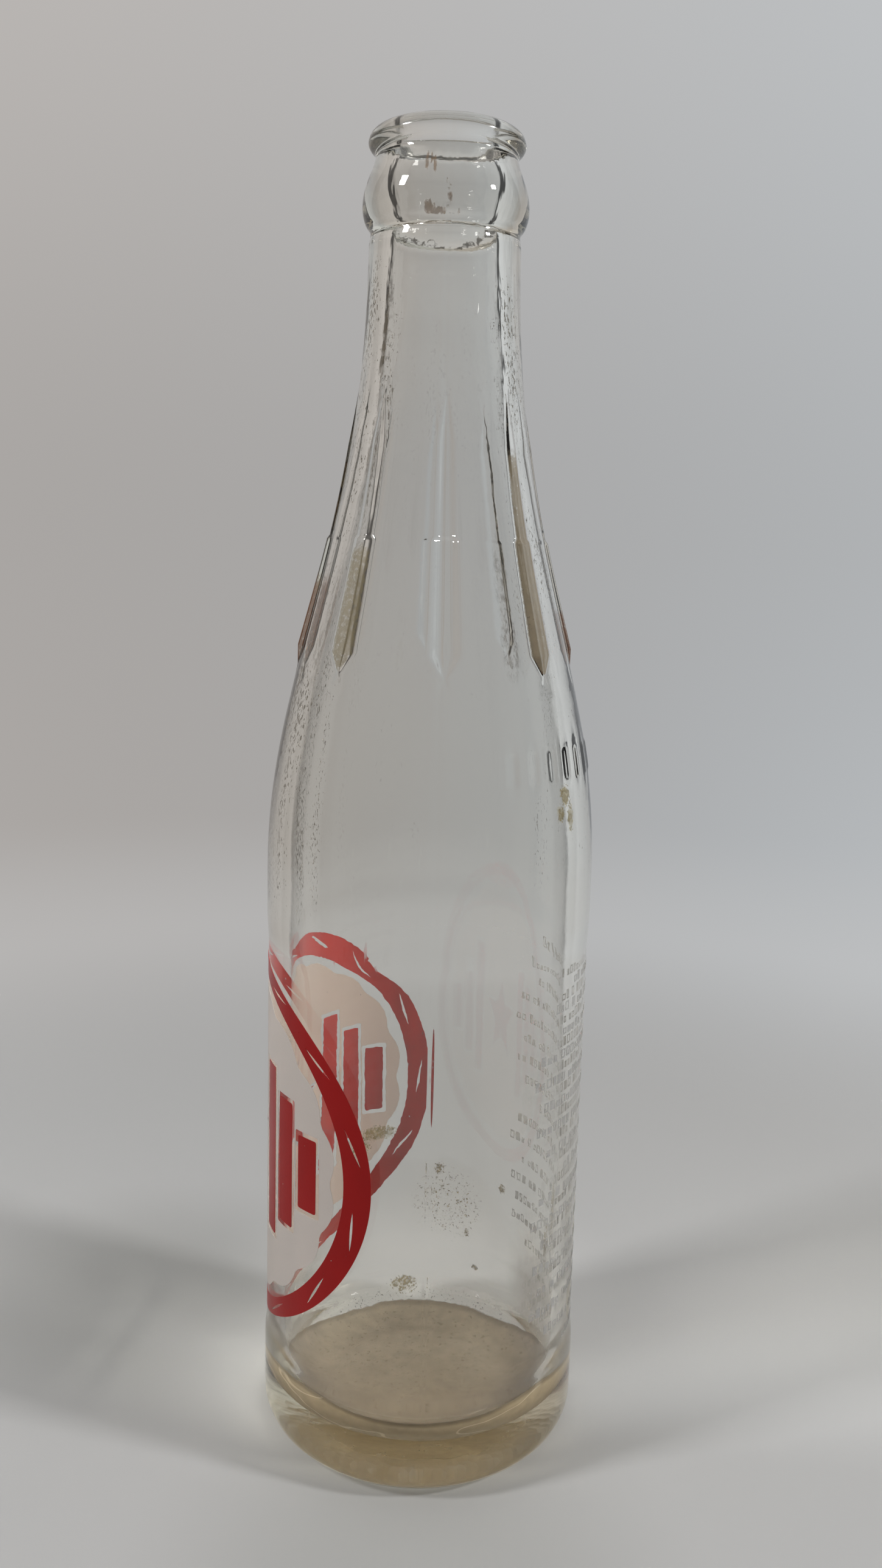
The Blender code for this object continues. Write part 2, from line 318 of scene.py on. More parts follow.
def floorGlow(nodes, place, x, y, away):
    # light that the bottle gathers behind and under it and along its shadows
    pool = nodes.ease(nodes.distance(place, studio["pool"]), 0.012, 0.055, 1, 0)
    beneath = nodes.ease(away, 0.012, 0.03, 0.22, 0)
    beams = 0.0
    for turn, strength, spread in studio["beams"]:
        a = turn * degree
        along = x * math.cos(a) + y * math.sin(a)
        across = abs(y * math.cos(a) - x * math.sin(a))
        beam = nodes.ease(across / (along + 0.02), 0.02, spread, strength, 0)
        beam = beam * nodes.ease(along, 0.015, 0.038)
        beams = beam * nodes.ease(along, 0.08, 0.19, 1, 0) + beams
    colour = nodes.node("CombineXYZ", None, {
        0: pool * 0.085 + beams * 0.085 + beneath,
        1: pool * 0.083 + beams * 0.086 + beneath,
        2: pool * 0.078 + beams * 0.085 + beneath * 0.9})
    return nodes.node("Emission", None, {"Color": colour})


def makeFloor():
    # the floor's paper turns into the backdrop far from the bottle
    deselectAll()
    bpy.ops.mesh.primitive_plane_add(size=60)
    floor = finishEdit("floor")
    material, nodes = newMaterial("paper", studio["floorColour"])
    place = nodes.node("TexCoord", out=3)
    x, y, z = nodes.axes(place)
    away = nodes.lengthOf(place)
    unitX, unitY = x / (away + 0.02), y / (away + 0.02)
    sheet = nodes.node("AddShader", None, {
        0: floorPaper(nodes, place), 1: floorGlow(nodes, place, x, y, away)})
    seen, = nodes.several("LightPath", ["Is Camera Ray"])
    shade = paperShade(nodes, unitX, surround(nodes, unitX, unitY, z, seen))
    shade = nodes.mixColour(nodes.ease(away, 0.3, 0.62, 0.5, 0.0), shade, (0.53, 0.53, 0.53))
    far = nodes.node("Emission", None, {"Color": shade})
    blend = nodes.ease(away, 0.15, 0.36)
    nodes.node("OutputMaterial", None, {"Surface": nodes.mixShader(blend, sheet, far)})
    floor.data.materials.append(material)


def makeLamp(name, azimuth, elevation, distance, width, height, power):
    a, e = azimuth * degree, elevation * degree
    way = Vector((math.sin(a) * math.cos(e), -math.cos(a) * math.cos(e), math.sin(e)))
    data = bpy.data.lights.new(name, "AREA")
    data.shape, data.size, data.size_y, data.energy = "RECTANGLE", width, height, power
    lamp = bpy.data.objects.new(name, data)
    bpy.context.scene.collection.objects.link(lamp)
    lamp.location = Vector(studio["lampAim"]) + way * distance
    lamp.rotation_euler = way.to_track_quat("Z", "Y").to_euler()


print("camera, backdrop and lamps")
makeCamera()
makeWorld()
makeFloor()
for lampName, lampValues in studio["lamps"].items():
    makeLamp(lampName, *lampValues)
bpy.context.scene.view_settings.view_transform = "Standard"


# the glass vessel

bottle = {
    "height": 235 * mm,
    "columns": 320,
    "bodyRadius": 29.5 * mm,
    "heelStep": 0.1 * mm,
    "shoulderStart": 109 * mm,
    "panelRecess": 0.3 * mm,
    "panelTop": (101.5 * mm, 93.4 * mm, 4 * mm),      # start and end of the blend into the recess, its pull
    "panelFoot": (22.3 * mm, 17.5 * mm, 2.4 * mm),    # and of the blend out of it, down to the heel
    "heelRadius": 7.3 * mm,
    "bearingWidth": 3.2 * mm,
    "pushUp": 3.0 * mm,
    "shoulderPull": 35.5 * mm,
    "neckRadius": 12.95 * mm,
    "neckPull": 51 * mm,
    "neckFlare": 0.1 * mm,
    "land": (8.9 * mm, 9.9 * mm),
    # the finish from the land to the neck: radius and drop below the rim, in mm
    "finish": ((10.9, 0.2), (12.0, 0.7), (12.8, 1.4), (13.2, 2.35), (13.2, 3.0), (12.85, 3.65),
               (12.3, 4.15), (12.0, 4.7), (12.1, 5.5), (12.6, 7.0), (13.25, 8.7), (13.85, 10.6),
               (14.12, 12.6), (14.0, 14.2), (13.55, 15.6), (13.0, 16.4), (12.72, 17.0), (12.72, 17.7),
               (12.86, 18.4)),
    "neckTopDrop": 19 * mm,
    "innerRadius": 25.0 * mm,
    "innerFootRadius": 25.9 * mm,
    "floorThickness": 8.7 * mm,
    "floorRise": 0.5 * mm,
    "innerCorner": 8.3 * mm,
    "innerShoulderStart": 108 * mm,
    "innerShoulderPull": 36.5 * mm,
    "innerNeckRadius": 8.8 * mm,
    "innerNeckFlare": 1.3 * mm,
    "innerNeckPull": 45 * mm,
    "boreRadius": 7.85 * mm,
    # up the bore, in mm: radius, drop below the rim, pull from the point below, pull into this point
    "bore": ((7.15, 16.0, 1.0, 0.9), (8.95, 10.6, 2.0, 2.2), (7.85, 4.6, 2.6, 2.4)),
    "lipRound": 1.1 * mm,
    "throat": -1.1 * mm,      # drop of the inner sweep's end below the neck's top
    # heights of the shoulder's rings of points and the spacing below each, in mm: among them are
    # all marks of the ribs and bars, and two more beside the ribs' step
    "rings": {109.0: 0, 127.6: 2.0, 128.3: 0.35, 132.7: 1.5, 133.4: 0.35, 145.2: 2.0, 148.7: 0.5,
              166.9: 2.0, 167.2: 0.3, 167.8: 0.2, 168.1: 0.3, 183.1: 2.0, 190.1: 0.7, 216.0: 2.0},
}

ribs = {
    "count": 8,
    "firstAzimuth": 4,      # degrees
    # mm above the base: tip, toe, foot and top of the step, lance, tip
    "marks": (145.2, 148.7, 167.2, 167.8, 183.1, 190.1),
    "halfWidths": (0.1, 0.95, 0.75, 0.7, 0.5, 0.1),
    "flanks": (0.3, 1.8, 1.55, 1.05, 0.85, 0.2),
    "proud": (0.1, 0.95, 0.74, 0.42, 0.40, 0.1),
    "flankShape": (1, 0.86, 0.62, 0.38, 0.14, 0),     # from the top down to the wall
    "topColumns": 3,
    "flankColumns": 5,
    "ease": 6.0,            # height over which the columns spread out again
}

bars = {
    "count": 7,
    "firstColumn": 22,      # from the first rib's middle
    "pitchColumns": 8,
    "marks": (127.6, 128.3, 132.7, 133.4),
    "ends": (0.25, 1, 1, 0.25),     # how proud each mark is
    "shape": (1.0, 0.78, 0),        # and each column from the middle
    "proud": 0.22,
}

unevenWall = {               # depths of its slow and fast waves, in mm
    "floor": (0.3, 0.1),
    "wall": (0.28, 0.035),
    "neck": (-0.1, 0.12),    # added to the wall's in the neck
    "pushUp": 0.22,
}


def sweep(foot, footPull, top, flare, topPull, steps):
    # the shoulder's curve, from the body up to the neck
    return [foot] + cubic(foot, (foot[0], foot[1] + footPull), (top[0] + flare, top[1] - topPull), top, steps)


def outerSweep(steps):
    b = bottle
    top = (b["neckRadius"], b["height"] - b["neckTopDrop"])
    return sweep((b["bodyRadius"], b["shoulderStart"]), b["shoulderPull"], top, b["neckFlare"],
                 b["neckPull"], steps)


def innerSweep(steps):
    b = bottle
    top = (b["innerNeckRadius"], b["height"] - b["neckTopDrop"] - b["throat"])
    return sweep((b["innerRadius"], b["innerShoulderStart"]), b["innerShoulderPull"], top,
                 b["innerNeckFlare"], b["innerNeckPull"], steps)


def tableOf(curve):
    return np.array([point[1] for point in curve]), np.array([point[0] for point in curve])


outerTable, innerTable = tableOf(outerSweep(400)), tableOf(innerSweep(400))


def shoulderLevels():
    # heights of the rings, down the shoulder
    levels, heights = [], list(bottle["rings"])
    for low, high in zip(heights, heights[1:]):
        parts = max(1, round((high - low) / bottle["rings"][high]))
        levels += list(np.linspace(low, high, parts + 1)[:-1])
    return [level * mm for level in levels[1:] + heights[-1:]][::-1]


def insideProfile():
    # radius and height from the middle of the cavity's floor up to the sealing land
    b = bottle
    h, r, corner = b["height"], b["innerFootRadius"], b["innerCorner"]
    floor, rise, top = b["floorThickness"], b["floorRise"], b["innerShoulderStart"]
    profile = [(0.0, floor + rise)]
    profile += [((r - corner) * t, floor + rise * (1 - t * t) ** 2) for t in np.linspace(0, 1, 9)[1:-1]]
    profile += [(r - corner + corner * math.cos(a), floor + corner + corner * math.sin(a))
                for a in np.linspace(-90, 0, 13) * degree]
    profile += [(r + (b["innerRadius"] - r) * t, floor + corner + (top - floor - corner) * t)
                for t in np.linspace(0, 1, 15)[1:-1]]
    profile += innerSweep(62)
    for (radius, drop, pullUp, pullIn), steps in zip(b["bore"], (9, 8, 7)):
        profile += upright(profile[-1], pullUp * mm, -pullIn * mm, (radius * mm, h - drop * mm), steps)
    lip, land = (b["boreRadius"], h - b["lipRound"]), (b["land"][0], h)
    half = b["lipRound"] / 2
    return profile + [lip] + cubic(lip, (lip[0], lip[1] + half), (land[0] - half, h), land, 5)


def outsideProfile():
    # from the sealing land down to the middle of the push-up
    b = bottle
    h, body = b["height"], b["bodyRadius"]
    panel, heelBand = body - b["panelRecess"], body + b["heelStep"]
    land, neck = (b["land"][1], h), (b["neckRadius"], h - b["neckTopDrop"])
    finish = [(radius * mm, h - drop * mm) for radius, drop in b["finish"]]
    profile = smoothThrough([land] + finish + [neck], 3)
    profile += [(float(np.interp(z, *outerTable)), z) for z in shoulderLevels()[1:]]
    (top, topEnd, topPull), (foot, footEnd, footPull) = b["panelTop"], b["panelFoot"]
    profile += [(body, b["shoulderStart"]), (body, top)]
    profile += upright((body, top), -topPull, topPull, (panel, topEnd), 7)
    profile += [(panel, z * mm) for z in (76, 58, 40)] + [(panel, foot)]
    profile += upright((panel, foot), -footPull, footPull, (heelBand, footEnd), 6)
    heel = b["heelRadius"]
    bearing = heelBand - heel
    profile += [(heelBand, (footEnd + heel) / 2)]
    profile += [(bearing + heel * math.cos(a), heel - heel * math.sin(a))
                for a in np.linspace(0, 90, 13) * degree]
    arch, crown = (bearing - b["bearingWidth"], 0.0), (0.0, b["pushUp"])
    return profile + [arch] + cubic(arch, (arch[0] - b["pushUp"], b["pushUp"]),
                                    (arch[0] / 2, b["pushUp"]), crown, 9)


def spinProfile(profile):
    deselectAll()
    bpy.ops.mesh.primitive_plane_add(size=1 * mm)
    editMode()
    bpy.ops.mesh.merge(type="CENTER")
    bpy.ops.transform.translate(value=(profile[0][0], 0, profile[0][1]))
    for (r0, z0), (r1, z1) in zip(profile, profile[1:]):
        bpy.ops.mesh.extrude_region_move(TRANSFORM_OT_translate={"value": (r1 - r0, 0, z1 - z0)})
    selectMesh()
    bpy.ops.mesh.spin(steps=bottle["columns"], angle=2 * math.pi, center=(0, 0, 0), axis=(0, 0, 1))
    selectMesh()
    bpy.ops.mesh.remove_doubles(threshold=0.00001)
    bpy.ops.mesh.normals_make_consistent(inside=False)
    return finishEdit("bottleGlass")


def betweenMarks(z, marks):
    near = 0.01 * mm
    return (z >= marks[0] * mm - near) & (z <= marks[-1] * mm + near)


def raiseRibs(points, outside):
    # shifts the shoulder's columns to the ribs' edges and lifts their tops
    z = points[:, 2]
    radius = np.hypot(points[:, 0], points[:, 1])
    step = 360 / bottle["columns"]
    perRib = bottle["columns"] // ribs["count"]
    column = np.round(np.degrees(np.arctan2(points[:, 1], points[:, 0])) / step).astype(int)
    place = (column + perRib // 2) % perRib - perRib // 2
    sector = (column - place) / perRib
    low, high, spread = ribs["marks"][0] * mm, ribs["marks"][-1] * mm, ribs["ease"] * mm
    share = smoothStep(z, low - spread, low) * (1 - smoothStep(z, high, high + spread)) * outside
    marks = np.array(ribs["marks"]) * mm
    toDegrees = 1 / np.maximum(radius, 1 * mm) / degree
    half = np.interp(z, marks, ribs["halfWidths"]) * mm * toDegrees
    flank = np.interp(z, marks, ribs["flanks"]) * mm * toDegrees
    reach, top, foot = np.abs(place), ribs["topColumns"], ribs["topColumns"] + ribs["flankColumns"]
    downFlank = (reach - top) / (foot - top)
    onFlank = half + downFlank * flank
    between = half + flank + (reach - foot) / (perRib / 2 - foot) * (180 / ribs["count"] - half - flank)
    shaped = np.where(reach <= top, reach / top * half, np.where(reach <= foot, onFlank, between))
    angle = place * step * (1 - share) + shaped * np.sign(place) * share
    azimuth = ribs["firstAzimuth"] + sector * 360 / ribs["count"] + angle
    proud = np.interp(z, marks, ribs["proud"]) * mm * betweenMarks(z, ribs["marks"]) * outside
    across = np.interp(downFlank, np.linspace(0, 1, len(ribs["flankShape"])), ribs["flankShape"])
    flat = 1 / np.cos(np.minimum(np.abs(angle), half) * degree)      # the tops are flat, not round
    lifted = radius + proud * across + np.where(reach <= top, (radius + proud) * (flat - 1) * (proud > 0), 0)

    # the upright bars, two columns to each side of their middles
    along = np.interp(z, np.array(bars["marks"]) * mm, bars["ends"]) * outside
    along = along * betweenMarks(z, bars["marks"])
    turn, halfway = column % bottle["columns"], bottle["columns"] // 2
    for index in range(bars["count"]):
        middle = bars["firstColumn"] + index * bars["pitchColumns"]
        apart = np.abs((turn - middle + halfway) % bottle["columns"] - halfway)
        shape = np.interp(apart, range(len(bars["shape"])), bars["shape"])
        lifted = lifted + shape * along * bars["proud"] * mm
    a = azimuth * degree
    return np.stack([lifted * np.sin(a), -lifted * np.cos(a), z], axis=1)


def insideShare(points):
    # 1 on the cavity's wall and 0 outside, split halfway through the glass
    boreFoot, floorMiddle, lip = 213 * mm, 5.5 * mm, 234.2 * mm
    z, radius = points[:, 2], np.hypot(points[:, 0], points[:, 1])
    inner = np.where(z > boreFoot, bottle["boreRadius"], np.interp(z, *innerTable))
    middle = (np.interp(z, *outerTable) + inner) / 2
    return ((radius < middle) & (z > floorMiddle) & (z < lip)).astype(float)


def roughen(points, inside):
    # uneven inner wall and floor, and a stippled push-up, as moulded glass has
    out, u = points.copy(), unevenWall
    for i in np.nonzero((inside > 0) & (points[:, 2] < 216 * mm))[0]:
        x, y, z = points[i]
        wall, neck = float(smoothStep(z, 10 * mm, 16 * mm)), float(smoothStep(z, 165 * mm, 185 * mm))
        slow = smoothNoise.noise(Vector((x * 38, y * 38, z * 22)))
        fast = smoothNoise.noise(Vector((x * 130 + 7, y * 130, z * (60 + 110 * neck))))
        out[i, 2] += (u["floor"][0] * slow + u["floor"][1] * fast) * mm * (1 - wall)
        slowDepth, fastDepth = (depth + more * neck for depth, more in zip(u["wall"], u["neck"]))
        out[i, :2] *= 1 + (slowDepth * slow + fastDepth * fast) * mm * wall / max(math.hypot(x, y), mm)
    underBase = (points[:, 2] < 3.2 * mm) & (np.hypot(points[:, 0], points[:, 1]) < 18.5 * mm)
    for i in np.nonzero((inside < 1) & underBase)[0]:
        x, y, z = points[i]
        out[i, 2] += u["pushUp"] * mm * smoothNoise.noise(Vector((x * 260, y * 260, 3)))
    return out


dirt = {
    # dried clumps on the inner wall: azimuth, height, half width, half height, strength
    "clumps": ((-157, 46.5, 4.4, 1.6, 0.95), (-148, 44, 2.6, 2.0, 0.8), (171, 38.4, 1.5, 1.6, 0.75),
               (174, 33, 1.3, 2.2, 0.55), (137, 37.0, 1.1, 1.1, 0.9), (152, 17, 0.7, 0.7, 0.95),
               (157, 24.5, 0.6, 1.1, 0.85), (166, 31, 9, 9, 0.36), (-172, 12.2, 3.4, 1.6, 0.8),
               (60, 124.5, 1.5, 1.9, 1.0), (56.5, 121.5, 1.2, 1.6, 0.9), (63, 120.5, 1.0, 2.8, 0.85),
               (86, 42, 2.2, 7, 0.75), (97, 33, 1.8, 5, 0.7), (80, 27, 1.6, 4, 0.6)),
    # brown stains down the bore
    "stains": ((-19, 226.9, 0.3, 1.7, 0.95), (-15, 227.4, 0.25, 1.1, 0.85), (-11, 226.5, 0.3, 1.6, 0.95),
               (2, 224, 0.3, 1.6, 0.6), (3, 221.8, 0.4, 1.0, 0.7), (-17, 221.3, 0.9, 0.8, 0.95),
               (-6, 220.9, 1.5, 0.5, 0.85), (8, 221, 1.5, 0.35, 0.7)),
    # dark smudges, the heaviest with a strength above 1
    "smudges": ((-57, 199, 0.6, 9, 1.6), (-57, 183, 0.5, 6, 1.2), (37, 150, 1.6, 6, 0.9),
                (36, 160, 1.3, 9, 0.7), (-62, 156, 1.3, 9, 0.6), (-66, 147, 1.5, 6, 0.7)),
    "spotDepth": 4 * mm,
    # residue on the ribs: rib azimuth, lowest and highest height, strength
    "ribs": ((-86, 145, 163, 0.95), (-41, 145, 168.4, 0.76), (49, 145, 184, 1.0), (94, 145, 158, 0.8),
             (139, 145, 152, 0.3), (-131, 145, 156, 0.3)),
    "crumbLine": 218.0 * mm,
    # dried dregs: their edge's height at the axis, and how it falls towards the back
    "filmTop": 13.2 * mm,
    "filmSlope": 0.1,
    "filmCurve": 2.25,
    "filmSides": (0.8, 240),      # it climbs at the sides, more so towards the front
    "colours": {
        "speck": (0.09, 0.075, 0.055), "tide": (0.52, 0.49, 0.44), "stain": (0.20, 0.12, 0.06),
        "clump": (0.38, 0.31, 0.12), "crumb": (0.20, 0.155, 0.045), "grime": (0.07, 0.055, 0.04),
        # heel is painted shade, a dark line along the heel's lowest edge
        "heel": (0.12, 0.085, 0.05), "ribLeft": (0.265, 0.213, 0.11), "ribRight": (0.29, 0.24, 0.165),
        "ribEdge": (0.16, 0.07, 0.035), "dregsFront": (0.20, 0.153, 0.099), "dregsBack": (0.34, 0.285, 0.20),
        "dregsBlotch": (0.17, 0.135, 0.09), "dregsSpeck": (0.14, 0.10, 0.05), "dregsRim": (0.16, 0.12, 0.07),
        # the underside colours are painted light: a paler lit copy of the dregs, and paler still along its
        # painted highlight lines
        "underCrack": (0.60, 0.475, 0.30), "underDregs": (0.98, 0.84, 0.60)},
}


def soil(item, points, inside):
    # where dirt lies, read by the glass material
    z, radius = points[:, 2] / mm, np.hypot(points[:, 0], points[:, 1]) / mm
    azimuth = np.degrees(np.arctan2(points[:, 0], -points[:, 1]))
    sides = smoothStep(np.abs(np.sin(azimuth * degree)), 0.82, 0.97) * np.where(azimuth < 0, 1, 0.7)
    runs = smoothStep(z, 92, 112) * (1 - smoothStep(z, 205, 216)) * (0.06 + sides)
    behind = np.zeros(len(z))
    for where, low, high, strength in dirt["ribs"]:
        turn = np.abs((azimuth - where + 180) % 360 - 180) * degree * radius
        half = np.interp(z, ribs["marks"], ribs["halfWidths"]) + np.interp(z, ribs["marks"], ribs["flanks"])
        behind = np.maximum(behind, strength * (1 - smoothStep(turn, half - 0.45, half - 0.1))
                            * smoothStep(z, low, low + 1) * (1 - smoothStep(z, high - 4, high)))
    pushUp = (1 - smoothStep(z, 2.2, 3.4)) * (1 - smoothStep(radius, 19, 22))
    writeAttribute(item, "cavity", inside)
    writeAttribute(item, "streaks", inside * runs)
    writeAttribute(item, "residue", (1 - inside) * behind)
    writeAttribute(item, "under", (1 - inside) * pushUp)


glassLook = {
    "tint": (0.985, 0.988, 0.986),
    "bend": 1.51,
    "roughness": 0.012,
    "bodyColour": (0.70, 0.61, 0.32),   # what thick glass lets through
    "bodyDensity": 17.0,
    "seamAzimuth": 2.0,
    "shineThrough": (0.88, 0.88, 0.87),       # what passes of the lamps' light
    "edgeShineThrough": (0.35, 0.35, 0.34),
}


def spots(nodes, place, entries):
    # how much of each point of the inner wall the spots cover
    boreStart, boreReach = 213, 8.4 * mm
    cover = 0.0
    for where, level, wide, tall, strength in entries:
        a = where * degree
        radius = boreReach if level > boreStart else float(np.interp(level * mm, *innerTable))
        local = nodes.node("Mapping", {"vector_type": "TEXTURE"}, {
            "Vector": place, "Location": (radius * math.sin(a), -radius * math.cos(a), level * mm),
            "Rotation": (0, 0, a), "Scale": (wide * mm, dirt["spotDepth"], tall * mm)})
        cover = nodes.most(cover, nodes.ease(nodes.lengthOf(local), 0.4, 1.5, strength, 0))
    return cover


def bareGlass(nodes, place, cavity, under):
    x, y, z = nodes.axes(place)
    ease, noise = nodes.ease, nodes.noise
    # waviness, orange peel, the mould seam, an uneven neck and the stippled push-up
    waves = noise(place, 55, 2, 0.45, (1, 1, 0.45))
    peel = noise(place, 420, 2, 0.5)
    seamLine = x + y * math.tan(glassLook["seamAzimuth"] * degree)
    seam = ease(abs(seamLine), 0.0001, 0.0006, 1.0, 0.0)
    neckRun = noise(place, 260, 3, 0.55, (1, 1, 0.25)) * cavity * ease(z, 0.175, 0.2)
    stipple = nodes.node("TexVoronoi", None, {"Vector": place, "Scale": 700}) * under
    height = waves * 0.3 + peel * 0.04 + seam * (1 - cavity) * 0.12 + neckRun * 0.8 + stipple * 0.4
    bump = nodes.node("Bump", None, {"Strength": 0.35, "Distance": 0.0006, "Height": height})

    # fine scuffs where bottles knock together, and a worn lip
    shoulderBand = ease(z, 0.094, 0.098) * ease(z, 0.108, 0.113, 1, 0)
    scratches = noise(place, 700, 3, 0.6, (1, 1, 0.25))
    scuff = ease(scratches, 0.60, 0.72) * (shoulderBand + ease(z, 0.012, 0.02, 1, 0))
    scuff = scuff * (1 - cavity)
    lip = ease(z, 0.2300, 0.2312) * (1 - cavity)
    smears = ease(noise(place, 90, 3), 0.55, 0.75)
    rough = glassLook["roughness"] + lip * 0.09 + scuff * 0.2 + smears * 0.02 + under * 0.3
    return nodes.node("BsdfPrincipled", None, {
        "Base Color": glassLook["tint"], "Roughness": rough, "IOR": glassLook["bend"],
        "Transmission Weight": 1.0, "Normal": bump})


def dirtLayers(nodes, place, cavity, streaks, residue):
    # how much of the glass each kind of dirt covers
    ease, noise = nodes.ease, nodes.noise
    x, y, z = nodes.axes(place)
    clumps, stains, smudge = (spots(nodes, place, dirt[name]) * cavity
                              for name in ("clumps", "stains", "smudges"))
    grit = noise(place, 1500, 4, 0.65)
    dots = noise(place, 2300, 3, 0.6)
    coarse = noise(place, 800, 4, 0.7)
    cloud = noise(place, 120, 4, 0.6)
    offAxis = abs(x / 0.0255)      # 1 at the sides

    # dried dregs on the cavity's floor
    sideRise, frontRise = dirt["filmSides"]
    filmEdge = dirt["filmTop"] - y * dirt["filmSlope"] - y * y * dirt["filmCurve"]
    filmEdge = filmEdge + x * x * (sideRise - y * frontRise)
    aboveFilm = z - filmEdge - (noise(place, 90, 3, 0.6) - 0.5) * 0.0012
    film = ease(aboveFilm, -0.0002, 0.0001, 1, 0) * cavity
    edgeSpecks = ease(dots, 0.60, 0.65) * ease(aboveFilm, 0.0004, 0.0035, 1, 0)
    edgeSpecks = edgeSpecks * ease(y, 0.010, 0.018) * cavity

    # a line of crumbs at the bore's ledge
    ledge = z - dirt["crumbLine"] - (noise(place, 170, 4, 0.7) - 0.5) * 0.0036
    ledge = ease(abs(ledge), 0.0001, 0.0003, 1, 0) * cavity
    ledge = ledge * ease(noise(place, 700, 3, 0.7), 0.42, 0.56)

    # specks in runs down the sides
    specks = noise(place, 2600, 3, 0.6, (1, 1, 0.4))
    runs = noise(place, 220, 2, 0.5, (1, 1, 0.10))
    specks = specks + (runs - 0.5) * 0.5 + (streaks - 1) * 0.12
    specks = specks + ease(z, 0.17, 0.19, 0, 0.05) + ease(x, -0.012, -0.005, 0.025, 0)
    specks = ease(specks, 0.59, 0.67) * ease(streaks, 0.0, 0.3)

    # clumps with a halo of stain, runs in the bore, residue on the ribs, dark smudges
    crumbs = ease(dots + (clumps - 0.6) * 0.25 + (coarse - 0.5) * 0.4, 0.51, 0.58)
    crumbs = crumbs * ease(clumps, 0.05, 0.4)
    halo = ease(clumps + (coarse - 0.5) * 1.6, 0.35, 1.05) * 0.6
    stain = stains + (noise(place, 1500, 4, 0.7, (1, 1, 0.45)) - 0.5) * 2.6
    stain = ease(stain, 0.45, 1.0) * ease(stains, 0.05, 0.4) * 0.7
    fill = residue * ease(grit + (residue - 0.7) * 0.5, 0.30, 0.56)
    heavy = ease(smudge, 0.95, 1.6)
    smut = noise(place, 1500, 4, 0.75, (1, 1, 0.35)) + heavy * 0.12
    smut = ease(smudge, 0.0, 0.9) * ease(smut, 0.40, 0.68) * (heavy * 0.3 + 0.62)

    # haze all over the cavity, a tide mark low on its sides, and painted shade: a dark line round the heel's
    # lowest edge
    haze = cavity * ease(noise(place, 35, 3, 0.55, (1, 1, 0.3)), 0.35, 0.8, 0.0, 0.05)
    tide = cavity * ease(z, 0.016, 0.042, 1, 0) * ease(offAxis, 0.72, 0.95)
    tide = tide * (0.3 + cloud * 0.3)
    heel = ease(z, 0.0016, 0.0030, 0.5, 0) * (1 - cavity) * (x * x + y * y > 0.00046)
    mask = haze
    for layer in (tide, heel, specks * 0.85, ledge * 0.8, edgeSpecks * 0.7, halo, crumbs * 0.8, stain,
                  fill * 0.8, smut, film * ease(cloud, 0.25, 0.8, 0.90, 0.97)):
        mask = nodes.most(mask, layer)
    return dict(mask=mask, film=film, aboveFilm=aboveFilm, specks=specks, clumps=clumps, crumbs=crumbs,
                stains=stains, tide=tide, heel=heel, cloud=cloud, offAxis=offAxis)


def dirtColour(nodes, place, residue, layers):
    ease, mix = nodes.ease, nodes.mixColour
    x, y = nodes.axes(place)[:2]
    shade, cloud, film = dirt["colours"], layers["cloud"], layers["film"]
    fill = mix(ease(x, -0.002, 0.002), shade["ribLeft"], shade["ribRight"])
    fill = mix(ease(layers["offAxis"], 0.76, 0.84), fill, shade["ribEdge"])
    clump = mix(ease(layers["crumbs"], 0.3, 0.8), shade["clump"], shade["crumb"])

    # the dregs from above, and from below through the glass, where they are a painted lit copy: much paler,
    # with painted highlight lines
    top = mix(ease(y, -0.022, 0.02), shade["dregsFront"], shade["dregsBack"])
    top = mix(ease(cloud, 0.35, 0.75) * 0.45, top, shade["dregsBlotch"])
    fine = ease(nodes.noise(place, 1200, 3, 0.7), 0.58, 0.68)
    top = mix(fine * 0.6, top, shade["dregsSpeck"])
    # painted highlights: thin pale wiggling lines on the dregs' underside
    highlightLines = abs(nodes.noise(place, 55, 2, 0.4, (1, 1, 2.5)) - 0.5)
    below = mix(ease(highlightLines, 0.004, 0.012, 0.8, 0), shade["underCrack"], shade["underDregs"])
    behind, = nodes.several("NewGeometry", ["Backfacing"])
    rim = ease(layers["aboveFilm"], -0.0012, -0.0003) * film     # where they dried last

    colour = shade["speck"]
    for share, tone in ((ease(residue, 0, 0.5), fill),
                        (ease(layers["tide"], 0.0, 0.12) * (1 - layers["specks"]), shade["tide"]),
                        (ease(layers["stains"], 0.0, 0.3), shade["stain"]),
                        (ease(layers["clumps"], 0.0, 0.3), clump),
                        (film, mix(behind, top, below)), (rim * 0.7, shade["dregsRim"]),
                        (nodes.noise(place, 500, 2) * 0.35, shade["grime"]),
                        # painted shade along the heel's lowest edge
                        (ease(layers["heel"], 0, 0.1), shade["heel"])):
        colour = mix(share, colour, tone)
    return colour


